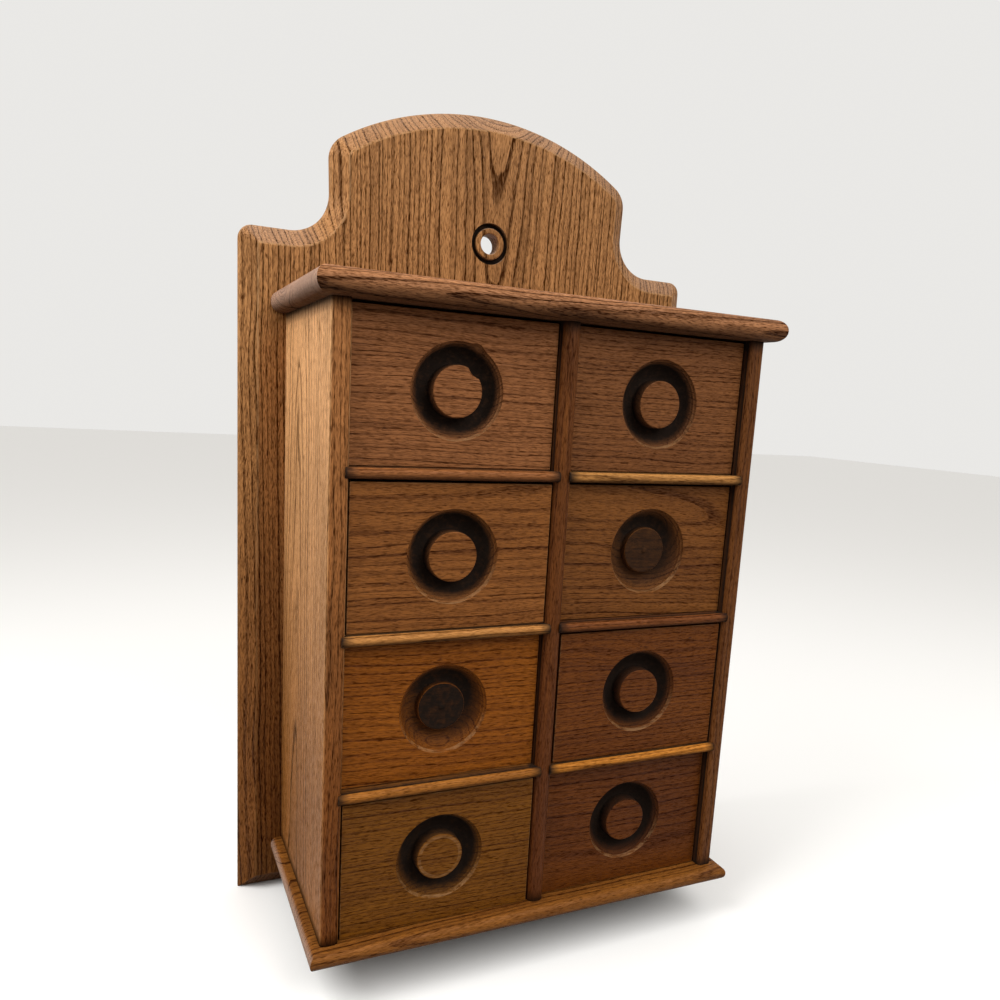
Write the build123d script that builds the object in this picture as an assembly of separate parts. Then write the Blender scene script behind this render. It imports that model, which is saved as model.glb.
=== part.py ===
from build123d import *
import math
import os

# Oak spice cabinet: eight drawers in two columns on a tall bevelled backboard.
# Millimetres. +X right, +Y to the wall, +Z up. The origin is below the middle of the
# whole cabinet, level with the backboard's lower edge.

# Case
ROWS = 4                    # drawers in a column
BAY_WIDTH = 113.9           # clear width of one drawer opening
BAY_HEIGHT = 80.1           # clear height of one drawer opening
CASE_DEPTH = 124.7          # sides' front edges to the backboard's face
SIDE_T = 10.0
DIVIDER_T = 10.3
SHELF_T = 5.8
TOP_T = 12.9
BOTTOM_T = 9.0
HOUSING_DEPTH = 2.1         # how far a shelf is let into a side or the divider
SHELF_PROUD = 1.4           # how far a shelf's nose stands in front of the sides
TOP_OVERHANG_SIDE = 9.0
TOP_OVERHANG_FRONT = 8.7
BOTTOM_OVERHANG_SIDE = 6.7
BOTTOM_OVERHANG_FRONT = 8.0
SIDE_NOSE_R = 3.6
DIVIDER_NOSE_R = 4.6
SHELF_NOSE_R = 2.7
TOP_NOSE_R = 6.2
BOTTOM_NOSE_R = 4.2

# Backboard
BACK_T = 12.0
BACK_MARGIN = 26.6          # backboard beyond each side of the case
BACK_DROP = 27.0            # backboard below the bottom board
SHOULDER_RISE = 36.6        # shoulder above the top board
CREST_HEIGHT = 85.3         # crest's middle above the shoulder
CREST_RISE = 32.8           # crest's middle above its two ends
SHOULDER_WIDTH = 53.8       # backboard's edge to the foot of the neck
NECK_LEAN = 1.7             # how much wider the crest is than the foot of the neck, each side
SHOULDER_R = 8.0
SWEEP_R = 24.0
EAR_R = 15.4
BEVEL_WIDTH = 11.1          # bevel seen from the front
BEVEL_DEPTH = 9.0           # how deep it goes into the board's thickness
HANG_HOLE_D = 12.7
HANG_HOLE_RISE = 43.6       # hanging hole above the top board
HANG_RING_INNER_D = 19.6
HANG_RING_OUTER_D = 25.8
HANG_RING_DEPTH = 3.6

# Drawers
DRAWER_SIDE_GAP = 0.85      # on each side of a drawer
DRAWER_TOP_GAP = 1.5
DRAWER_FLOOR_GAP = 0.3
DRAWER_BACK_GAP = 0.5       # behind a drawer that is pushed right in
DRAWER_SETBACK = 6.6        # front of a drawer that is pushed right in, behind the sides' edges
DRAWER_STANDS_OUT = {       # how far each drawer stands out from that, top to bottom
    "left": (0.0, 3.8, 0.0, 4.0),
    "right": (0.6, 0.8, 4.0, 0.8),
}
FRONT_T = 12.7
FRONT_RABBET = 6.4          # how far the drawer sides run into the front
DRAWER_SIDE_T = 6.4
DRAWER_BACK_T = 6.4
DRAWER_BACK_HOUSING = 3.0   # how far the drawer back is let into the drawer sides
DRAWER_BOTTOM_T = 3.2
DRAWER_BOTTOM_RISE = 5.0    # drawer bottom above the drawer's lower edge
DRAWER_GROOVE_DEPTH = 3.0
DRAWER_GROOVE_PLAY = 0.2
DRAWER_SIDE_DROP = 3.0      # drawer sides and back below the front's upper edge

# Turned finger pull in a drawer front
PULL_RIM_D = 51.0
PULL_POST_D = 27.0
PULL_DEPTH = 8.6
PULL_FLOOR_WIDTH = 3.0      # flat floor beside the post
PULL_SINK = 4.0             # how far a turned-down disc lies below the face
PULLS_TURNED_DOWN = (("left", 3), ("right", 2))

# Headless square nails through the top and bottom boards, and screws through the backboard
NAIL_T = 2.0
NAIL_LENGTH = 32.0
NAIL_INSET = 25.0           # from the case's front edge and from the backboard
SCREW_D = 3.5
SCREW_HEAD_D = 7.0
SCREW_LENGTH = 32.0
SCREW_INSET = 70.0          # from the ends of a side
FASTENER_PLAY = 0.05

# Places that follow from the sizes
COLUMNS = ("left", "right")
CASE_WIDTH = 2 * (BAY_WIDTH + SIDE_T) + DIVIDER_T
FLOOR_Z = BACK_DROP + BOTTOM_T
TOP_Z = FLOOR_Z + ROWS * BAY_HEIGHT + (ROWS - 1) * SHELF_T
TOP_FACE_Z = TOP_Z + TOP_T
BACK_WIDTH = CASE_WIDTH + 2 * BACK_MARGIN
SHOULDER_Z = TOP_FACE_Z + SHOULDER_RISE
CREST_Z = SHOULDER_Z + CREST_HEIGHT
OVERHANG = max(TOP_OVERHANG_FRONT, BOTTOM_OVERHANG_FRONT)
FRONT_Y = OVERHANG - (OVERHANG + CASE_DEPTH + BACK_T) / 2
FACE_Y = FRONT_Y + CASE_DEPTH
WALL_Y = FACE_Y + BACK_T
INNER_X = DIVIDER_T / 2 + BAY_WIDTH
OUTER_X = CASE_WIDTH / 2
DRAWER_WIDTH = BAY_WIDTH - 2 * DRAWER_SIDE_GAP
DRAWER_LENGTH = CASE_DEPTH - DRAWER_SETBACK - DRAWER_BACK_GAP
FRONT_HEIGHT = BAY_HEIGHT - DRAWER_TOP_GAP - DRAWER_FLOOR_GAP
BOX_HEIGHT = FRONT_HEIGHT - DRAWER_SIDE_DROP
CUT = 1.0                   # how far a cutting tool runs past the wood


def slab(x, y, z):
    """Board that fills the given ranges along X, Y and Z."""
    spans = (x, y, z)
    centre = [(low + high) / 2 for low, high in spans]
    return Pos(*centre) * Box(*[high - low for low, high in spans])


def round_front(board, along, radius):
    """Rounds the board's two front edges that run along the given axis."""
    return fillet(board.edges().filter_by(along).group_by(Axis.Y)[0], radius)


def nosed_board(overhang_side, overhang_front, floor, thickness, nose):
    """Top or bottom board, rounded on its front and both ends, with mitred corners."""
    half = OUTER_X + overhang_side
    front = FRONT_Y - overhang_front
    height = (floor, floor + thickness)
    board = round_front(slab((-half, half), (front, FACE_Y), height), Axis.X, nose)
    ends = slab((-half, half), (front - CUT, FACE_Y + CUT), height)
    return board & fillet(ends.edges().filter_by(Axis.Y), nose)


# Fasteners


def nails(foot_z, play):
    """Upright nails whose lower ends are at foot_z: two in each upright board."""
    thickness = NAIL_T + 2 * play
    nail = Box(thickness, thickness, NAIL_LENGTH, align=(Align.CENTER, Align.CENTER, Align.MIN))
    uprights = (-OUTER_X + SIDE_T / 2, 0.0, OUTER_X - SIDE_T / 2)
    places = [(x, y) for x in uprights for y in (FRONT_Y + NAIL_INSET, FACE_Y - NAIL_INSET)]
    return [Pos(x, y, foot_z) * nail for x, y in places]


def top_nails(play=0.0):
    return nails(TOP_FACE_Z - NAIL_LENGTH, play)


def bottom_nails(play=0.0):
    return nails(BACK_DROP, play)


def screw(play=0.0):
    """Countersunk screw that points down, with the top of its head at the origin."""
    radius = SCREW_D / 2 + play
    head_r = SCREW_HEAD_D / 2 + play
    head = ((0, 0), (head_r, 0), (radius, radius - head_r))
    shank = ((radius, -SCREW_LENGTH), (0, -SCREW_LENGTH))
    return revolve(Plane.XZ * make_face(Polyline(*head, *shank, close=True)), Axis.Z)


def in_back_holes(shape):
    """Copies of the shape in the backboard's screw holes: two into each side's rear edge."""
    heights = (FLOOR_Z + SCREW_INSET, TOP_Z - SCREW_INSET)
    places = [(sign * (OUTER_X - SIDE_T / 2), z) for sign in (-1, 1) for z in heights]
    return [Pos(x, WALL_Y, z) * Rot(-90, 0, 0) * shape for x, z in places]


# Case


def bay_floor(row):
    """Height of the surface that a row's drawers slide on; row 1 is the highest."""
    return FLOOR_Z + (ROWS - row) * (BAY_HEIGHT + SHELF_T)


def bay_centre(column):
    return (DIVIDER_T + BAY_WIDTH) / 2 * (-1 if column == "left" else 1)


def housings(face_x, into):
    """Through grooves for the shelves' ends in an upright board's face at face_x."""
    span = sorted((face_x, face_x + into * HOUSING_DEPTH))
    return [
        slab(span, (FRONT_Y - CUT, FACE_Y + CUT), (bay_floor(row) - SHELF_T, bay_floor(row)))
        for row in range(1, ROWS)
    ]


def case_side(sign):
    """Left side for -1 and right side for 1."""
    span = sorted((sign * INNER_X, sign * OUTER_X))
    board = slab(span, (FRONT_Y, FACE_Y), (FLOOR_Z, TOP_Z))
    board = round_front(board, Axis.Z, SIDE_NOSE_R)
    board -= housings(sign * INNER_X, sign)
    board -= top_nails(FASTENER_PLAY) + bottom_nails(FASTENER_PLAY)
    return board - in_back_holes(screw(FASTENER_PLAY))


def centre_divider():
    half = DIVIDER_T / 2
    board = slab((-half, half), (FRONT_Y, FACE_Y), (FLOOR_Z, TOP_Z))
    board = round_front(board, Axis.Z, DIVIDER_NOSE_R)
    board -= housings(-half, 1) + housings(half, -1)
    return board - top_nails(FASTENER_PLAY) - bottom_nails(FASTENER_PLAY)


def shelf(column, row):
    """Shelf under the drawer of the given row."""
    half = BAY_WIDTH / 2 + HOUSING_DEPTH
    centre = bay_centre(column)
    top = bay_floor(row)
    board = slab((centre - half, centre + half), (FRONT_Y - SHELF_PROUD, FACE_Y), (top - SHELF_T, top))
    return round_front(board, Axis.X, SHELF_NOSE_R)


def top_board():
    board = nosed_board(TOP_OVERHANG_SIDE, TOP_OVERHANG_FRONT, TOP_Z, TOP_T, TOP_NOSE_R)
    return board - top_nails(FASTENER_PLAY)


def bottom_board():
    overhangs = (BOTTOM_OVERHANG_SIDE, BOTTOM_OVERHANG_FRONT)
    board = nosed_board(*overhangs, BACK_DROP, BOTTOM_T, BOTTOM_NOSE_R)
    return board - bottom_nails(FASTENER_PLAY)


# Backboard


def backboard_outline(shoulder_r):
    """Outline seen from the front, drawn in X and Z, with its shoulders rounded by shoulder_r."""
    edge = BACK_WIDTH / 2
    neck = edge - SHOULDER_WIDTH
    ear = neck + NECK_LEAN
    ear_z = CREST_Z - CREST_RISE
    right = Polyline((ear, ear_z), (neck, SHOULDER_Z), (edge, SHOULDER_Z), (edge, 0))
    left = Polyline((-ear, ear_z), (-neck, SHOULDER_Z), (-edge, SHOULDER_Z), (-edge, 0))
    crest = ThreePointArc((-ear, ear_z), (0, CREST_Z), (ear, ear_z))
    foot = Line((-edge, 0), (edge, 0))
    outline = make_face(Curve() + [right, crest, left, foot])
    for x, z, radius in ((neck, SHOULDER_Z, SWEEP_R), (ear, ear_z, EAR_R), (edge, SHOULDER_Z, shoulder_r)):
        if radius:
            corners = [v for v in outline.vertices() if math.dist((abs(v.X), v.Y), (x, z)) < CUT]
            outline = fillet(corners, radius)
    return outline


def backboard_prism(shoulder_r):
    """Board of the outline and the full thickness, its face at FACE_Y."""
    outline = Plane((0, FACE_Y, 0), x_dir=(1, 0, 0), z_dir=(0, -1, 0)) * backboard_outline(shoulder_r)
    return extrude(outline, -BACK_T)


def hanging_ring():
    """Turned groove that leaves an island round the hanging hole."""
    outer = Cylinder(HANG_RING_OUTER_D / 2, 2 * HANG_RING_DEPTH)
    return outer - Cylinder(HANG_RING_INNER_D / 2, 2 * HANG_RING_DEPTH)


def backboard():
    board = backboard_prism(0)
    face = board.faces().sort_by(Axis.Y)[0]
    board = chamfer(face.edges(), BEVEL_WIDTH, BEVEL_DEPTH, reference=face)
    board &= backboard_prism(SHOULDER_R)
    hole = Pos(0, FACE_Y, TOP_FACE_Z + HANG_HOLE_RISE) * Rot(90, 0, 0)
    board -= hole * Cylinder(HANG_HOLE_D / 2, 2 * BACK_T + CUT)
    board -= hole * hanging_ring()
    return board - in_back_holes(screw(FASTENER_PLAY))


# Drawers


def pull_groove():
    """Solid to turn away for a finger pull: steep post, flat floor and sloping wall."""
    post = PULL_POST_D / 2
    rim = PULL_RIM_D / 2
    floor = ((post, -CUT), (post, PULL_DEPTH), (post + PULL_FLOOR_WIDTH, PULL_DEPTH))
    return revolve(make_face(Polyline(*floor, (rim, 0), (rim, -CUT), close=True)), Axis.Y)


def drawer_face_y(column, row):
    """Where the drawer's face stands at rest."""
    return FRONT_Y + DRAWER_SETBACK - DRAWER_STANDS_OUT[column][row - 1]


def at_drawer(column, row):
    """Place of the middle of the drawer's lower front edge."""
    return Pos(bay_centre(column), drawer_face_y(column, row), bay_floor(row) + DRAWER_FLOOR_GAP)


def bottom_groove(x, y):
    """Groove that takes the drawer's bottom, over the given ranges."""
    height = DRAWER_BOTTOM_T + DRAWER_GROOVE_PLAY
    return slab(x, y, (DRAWER_BOTTOM_RISE, DRAWER_BOTTOM_RISE + height))


def drawer_front(turned_down):
    half = DRAWER_WIDTH / 2
    inner = half - DRAWER_SIDE_T
    board = slab((-half, half), (0, FRONT_T), (0, FRONT_HEIGHT))
    for sign in (-1, 1):
        span = sorted((sign * inner, sign * (half + CUT)))
        board -= slab(span, (FRONT_T - FRONT_RABBET, FRONT_T + CUT), (-CUT, FRONT_HEIGHT + CUT))
    board -= bottom_groove((-inner, inner), (FRONT_T - DRAWER_GROOVE_DEPTH, FRONT_T + CUT))
    centre = Pos(0, 0, FRONT_HEIGHT / 2)
    board -= centre * pull_groove()
    if turned_down:
        disc = Cylinder(PULL_POST_D / 2 + CUT, 2 * PULL_SINK)
        board -= centre * Rot(90, 0, 0) * disc
    return board


def drawer_side(sign):
    """Left side for -1 and right side for 1, grooved for the bottom and rabbeted for the back."""
    half = DRAWER_WIDTH / 2
    inner = half - DRAWER_SIDE_T
    front = FRONT_T - FRONT_RABBET
    span = sorted((sign * inner, sign * half))
    board = slab(span, (front, DRAWER_LENGTH), (0, BOX_HEIGHT))
    groove = sorted((sign * (inner - CUT), sign * (inner + DRAWER_GROOVE_DEPTH)))
    board -= bottom_groove(groove, (FRONT_T - DRAWER_GROOVE_DEPTH, DRAWER_LENGTH + CUT))
    rabbet = sorted((sign * (inner - CUT), sign * (inner + DRAWER_BACK_HOUSING)))
    back = (DRAWER_LENGTH - DRAWER_BACK_T, DRAWER_LENGTH + CUT)
    return board - slab(rabbet, back, (drawer_back_floor(), BOX_HEIGHT + CUT))


def drawer_back_floor():
    """Lower edge of the drawer's back, on top of the bottom's groove."""
    return DRAWER_BOTTOM_RISE + DRAWER_BOTTOM_T + DRAWER_GROOVE_PLAY


def drawer_back():
    half = DRAWER_WIDTH / 2 - DRAWER_SIDE_T + DRAWER_BACK_HOUSING
    span = (DRAWER_LENGTH - DRAWER_BACK_T, DRAWER_LENGTH)
    return slab((-half, half), span, (drawer_back_floor(), BOX_HEIGHT))


def drawer_bottom():
    """Thin board that rests on the lower face of its grooves."""
    play = DRAWER_GROOVE_PLAY
    half = DRAWER_WIDTH / 2 - DRAWER_SIDE_T + DRAWER_GROOVE_DEPTH - play
    front = FRONT_T - DRAWER_GROOVE_DEPTH + play
    height = (DRAWER_BOTTOM_RISE, DRAWER_BOTTOM_RISE + DRAWER_BOTTOM_T)
    return slab((-half, half), (front, DRAWER_LENGTH), height)


# Every sub-part by name


def case_parts():
    parts = {
        "backboard": backboard(),
        "top_board": top_board(),
        "bottom_board": bottom_board(),
        "left_side": case_side(-1),
        "right_side": case_side(1),
        "centre_divider": centre_divider(),
        "top_nails": Compound(top_nails()),
        "bottom_nails": Compound(bottom_nails()),
        "back_screws": Compound(in_back_holes(screw())),
    }
    for column in COLUMNS:
        for row in range(1, ROWS):
            parts[f"{column}_shelf_{row}"] = shelf(column, row)
    return parts


def drawer_parts():
    fronts = {turned_down: drawer_front(turned_down) for turned_down in (False, True)}
    box = {
        "left_side": drawer_side(-1),
        "right_side": drawer_side(1),
        "back": drawer_back(),
        "bottom": drawer_bottom(),
    }
    parts = {}
    for column in COLUMNS:
        for row in range(1, ROWS + 1):
            pieces = {"front": fronts[(column, row) in PULLS_TURNED_DOWN], **box}
            for piece, shape in pieces.items():
                parts[f"{column}_drawer_{row}_{piece}"] = at_drawer(column, row) * shape
    return parts


def main():
    os.makedirs("parts", exist_ok=True)
    for name, shape in {**case_parts(), **drawer_parts()}.items():
        export_step(shape, f"parts/{name}.step")


main()
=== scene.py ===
import math
from collections import namedtuple

import bmesh
import bpy
from bpy.props import FloatProperty, FloatVectorProperty, IntProperty, PointerProperty
from mathutils import Euler, Matrix, Vector


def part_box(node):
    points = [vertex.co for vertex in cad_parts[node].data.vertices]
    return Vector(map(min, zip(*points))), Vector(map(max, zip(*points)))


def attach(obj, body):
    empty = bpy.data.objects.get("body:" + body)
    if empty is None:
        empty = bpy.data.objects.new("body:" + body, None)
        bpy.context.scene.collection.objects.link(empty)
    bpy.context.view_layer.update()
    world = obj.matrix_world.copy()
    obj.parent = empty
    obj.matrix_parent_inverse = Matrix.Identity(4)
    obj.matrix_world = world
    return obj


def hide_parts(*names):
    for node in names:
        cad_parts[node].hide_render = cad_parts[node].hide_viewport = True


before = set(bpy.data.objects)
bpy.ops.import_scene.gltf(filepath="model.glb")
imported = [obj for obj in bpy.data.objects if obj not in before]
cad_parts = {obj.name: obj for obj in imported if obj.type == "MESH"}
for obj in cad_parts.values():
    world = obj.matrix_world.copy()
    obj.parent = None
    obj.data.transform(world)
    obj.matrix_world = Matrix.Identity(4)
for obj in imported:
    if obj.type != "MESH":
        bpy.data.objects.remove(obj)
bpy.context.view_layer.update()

bl_info = {
    "name": "Oak spice cabinet",
    "version": (1, 0, 0),
    "blender": (4, 5, 0),
    "location": "3D View > Sidebar > Cabinet",
    "description": "Dresses an oak spice cabinet with eight ring-pull drawers",
    "category": "Object",
}

MM = 0.001
NEAR = MM / 100  # points closer than this are the same
MARGIN = MM / 10  # taken off or added to a limit, so that points on it are sure
ARRIS = 0.5 * MM  # width of an arris that is only broken
SHARP = 1  # radians between two faces, past which their edge is sharp
SMOOTH = math.radians(38)  # faces that meet at less than this are shaded as one
RIGHT, BACKWARD, UP = Vector((1, 0, 0)), Vector((0, 1, 0)), Vector((0, 0, 1))
COLUMNS = ("left", "right")
ROWS = 4
SHELVES = [f"{column}_shelf_{row}" for column in COLUMNS for row in range(1, ROWS)]
DRAWERS = [f"{column}_drawer_{row}" for column in COLUMNS for row in range(1, ROWS + 1)]
SUNK_PULLS = {"left_drawer_3": 0.97, "right_drawer_2": 0.8}  # how dirty each turned-down disc is
PALE_DISC = "left_drawer_4"
CHIPPED_PULL = "left_drawer_1"


# Sizes and colours that can be changed


def number(name, description, default, unit="NONE"):
    return FloatProperty(name=name, description=description, default=default, unit=unit)


def length(name, description, millimetres):
    return number(name, description, millimetres * MM, "LENGTH")


def colour(name, description, *default):
    return FloatVectorProperty(
        name=name, description=description, default=default, subtype="COLOR")


class StageSettings(bpy.types.PropertyGroup):
    camera_place: FloatVectorProperty(
        name="Camera place", description="Where the camera stands",
        default=(-0.2177, -0.4706, 0.3279), subtype="TRANSLATION", unit="LENGTH")
    camera_turn: FloatVectorProperty(
        name="Camera turn", description="How the camera is turned",
        default=[math.radians(angle) for angle in (80.007, -3.358, -24.905)], subtype="EULER")
    camera_lens: number("Lens", "Focal length in millimetres", 30.23, "CAMERA")
    camera_shift: FloatVectorProperty(
        name="Shift", description="Lens shift across and up", default=(-0.0212, 0.0538), size=2)
    floor_colour: colour("Floor", "Colour of the floor as it is seen", 0.93, 0.92, 0.90)
    bounce_colour: colour(
        "Bounce", "Colour of the light that the floor throws on the cabinet", 0.13, 0.11, 0.10)
    backdrop_colour: colour("Backdrop", "Colour behind the cabinet", 0.82, 0.81, 0.79)
    key_power: number("Key light", "Power of the large lamp at the left", 8.0, "POWER")
    fill_power: number(
        "Fill light", "Power of the soft lamp at the upper right front", 8.0, "POWER")
    room_strength: number(
        "Room light", "Strength of the light from level with the cabinet", 0.28)
    ceiling_strength: number(
        "Ceiling light", "Strength of the light from straight above", 1.05)


class OakSettings(bpy.types.PropertyGroup):
    pore_colour: colour("Pores", "Tint of the stain caught in the pores", 0.22, 0.16, 0.13)
    end_colour: colour("End grain", "Colour of end grain that has gone grey", 0.52, 0.37, 0.29)
    # Colour of wood rubbed bare along the edges; on the backboard's arris and the pulls' lower rims
    # it is also a painted highlight
    worn_and_highlight_colour: colour(
        "Worn edges", "Colour of wood rubbed bare along the edges", 0.42, 0.23, 0.10)
    # Colour of old dirt, also used for painted shade in hollows, gaps and under boards
    grime_and_shade_colour: colour("Grime", "Colour of old dirt in the hollows", 0.018, 0.012, 0.009)
    roughness: number("Roughness", "Roughness of the old satin finish", 0.46)
    shine: number("Shine", "How strongly the finish reflects", 0.15)
    pore_depth: length("Pore depth", "How deep the pores look", 0.22)


class BoardSettings(bpy.types.PropertyGroup):
    ease: length("Eased edge", "Width of an edge that is only sanded", 0.45)
    side_nose: length("Side nose", "Rounding of a side's front edges", 2.6)
    divider_nose: length("Divider nose", "Rounding of the divider's front edges", 4.6)
    shelf_nose: length("Shelf nose", "Rounding of a shelf's front edges", 2.7)
    top_nose: length("Top nose", "Rounding of the top board's edges", 6.2)
    bottom_nose: length("Bottom nose", "Rounding of the bottom board's edges", 4.2)
    housing: length("Housing", "How far a shelf is let into an upright", 2.1)
    nose_steps: IntProperty(
        name="Nose steps", description="Facets across a rounded edge", default=8)


class BackboardSettings(bpy.types.PropertyGroup):
    shoulder_height: length("Shoulder height", "Shoulder above the base", 423.3)
    shoulder_width: length("Shoulder width", "Edge to the foot of the neck", 53.8)
    neck_lean: length("Neck lean", "How much wider the crest is than the foot of the neck", 1.7)
    crest_rise: length("Crest rise", "Crest's middle above its ends", 32.8)
    shoulder_round: length("Shoulder round", "Radius of the shoulder", 8.0)
    sweep_round: length("Sweep", "Radius of the hollow at the foot of the neck", 24.0)
    ear_round: length("Ear", "Radius of the crest's ends", 15.4)
    bevel_width: length("Bevel width", "Bevel seen from the front", 11.1)
    bevel_depth: length("Bevel depth", "How deep the bevel goes", 9.0)
    hole_height: length("Hole height", "Hanging hole above the base", 430.3)
    hole_radius: length("Hole radius", "Radius of the hanging hole", 6.35)
    ring_inner: length("Ring inside", "Inner radius of the turned ring", 9.8)
    ring_outer: length("Ring outside", "Outer radius of the turned ring", 12.9)
    ring_depth: length("Ring depth", "Depth of the turned ring", 3.6)


class PullSettings(bpy.types.PropertyGroup):
    rim: length("Rim", "Radius of the pull's rim", 25.5)
    post: length("Post", "Radius of the disc in the middle", 13.5)
    depth: length("Depth", "Depth of the turned hollow", 8.6)
    floor: length("Floor", "Width of the flat floor", 3.0)
    sink: length("Sink", "How far a turned-down disc lies below the face", 4.0)
    steps: IntProperty(name="Steps", description="Facets round a turned hollow", default=112)


class FastenerSettings(bpy.types.PropertyGroup):
    nail_width: length("Nail", "Width of a square nail", 2.0)
    nail_pit: length("Nail pit", "How deep a nail's hole is modelled", 3.0)
    head_radius: length("Screw head", "Radius of a screw's head", 3.5)
    shank_radius: length("Screw shank", "Radius of a screw's shank", 1.75)
    play: length("Play", "Gap between a fastener and its hole", 0.05)


# Wood, as shader sums


class Sums:
    """Adds nodes to a tree, linked as the sums are written."""

    def __init__(self, tree):
        self.tree = tree

    def add(self, kind, **settings):
        node = self.tree.nodes.new(kind)
        for name, value in settings.items():
            setattr(node, name, value)
        return node

    def feed(self, socket, source):
        if isinstance(source, bpy.types.NodeSocket):
            self.tree.links.new(source, socket)
        else:
            socket.default_value = source

    def fed(self, node, *values):
        """The node, with the values fed to its first inputs."""
        for socket, value in zip(node.inputs, values):
            self.feed(socket, value)
        return node

    def math(self, operation, *values):
        return self.fed(self.add("ShaderNodeMath", operation=operation), *values).outputs[0]

    def times(self, first, second):
        return self.math("MULTIPLY", first, second)

    def scaled(self, value, factor, rest):
        """value times factor, added to the rest"""
        return self.math("MULTIPLY_ADD", value, factor, rest)

    def vector(self, operation, *values):
        node = self.fed(self.add("ShaderNodeVectorMath", operation=operation), *values)
        return node.outputs["Value" if operation in ("LENGTH", "DOT_PRODUCT") else "Vector"]

    def ease(self, value, start, end):
        """0 before start, 1 after end, and a smooth step between them."""
        node = self.add("ShaderNodeMapRange", interpolation_type="SMOOTHSTEP")
        return self.fed(node, value, start, end).outputs[0]

    def noise(self, place, stretch, detail, roughness):
        """Soft noise, its cells 1/stretch across; returns value and colour."""
        node = self.add("ShaderNodeTexNoise")
        self.feed(node.inputs["Vector"], self.vector("MULTIPLY", place, stretch))
        for name, value in (("Scale", 1.0), ("Detail", detail), ("Roughness", roughness)):
            node.inputs[name].default_value = value
        return node.outputs["Fac"], node.outputs["Color"]

    def line_noise(self, along):
        node = self.add("ShaderNodeTexNoise", noise_dimensions="1D")
        self.feed(node.inputs["W"], along)
        node.inputs["Scale"].default_value = 1.0
        return node.outputs["Fac"]

    def mix(self, factor, first, second, blend="MIX"):
        node = self.add("ShaderNodeMix", data_type="RGBA", blend_type=blend)
        for socket, source in ((0, factor), (6, first), (7, second)):
            self.feed(node.inputs[socket], source)
        return node.outputs[2]


def new_material(name):
    """Material with its sums and the inputs of its shader."""
    material = bpy.data.materials.new(name)
    material.use_nodes = True
    shader = material.node_tree.nodes["Principled BSDF"]
    return material, Sums(material.node_tree), shader.inputs


# Patterns in the oak: cells in a millimetre along and across the grain, then detail and roughness
PATTERNS = {
    "sway": ((0.008, 0.03, 0.03), 2.0, 0.5),
    "ripple": ((0.014, 0.09, 0.09), 2.0, 0.5),
    "dashes": ((0.2, 1.9, 1.9), 1.0, 0.5),
    "flecks": ((0.25, 3.3, 3.3), 1.0, 0.5),
    "fibre": ((0.012, 0.9, 0.9), 4.0, 0.7),
    "cloud": ((0.012, 0.04, 0.04), 3.0, 0.5),
    "knocks": ((0.12, 0.4, 0.4), 2.0, 0.6),
    "rub": ((0.08, 0.5, 0.5), 4.0, 0.65),
    "dust": ((0.3, 0.3, 0.3), 3.0, 0.6),
}
SWAY, RIPPLE = 6.5, 1.1  # how far the rings bend and ripple, in mm
COLOURS = ("Light", "Dark", "Pore", "Worn", "Grime colour", "End colour")
SHARES = ("Ring", "Contrast", "Pores", "End grain", "Wear", "Grime")


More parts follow.
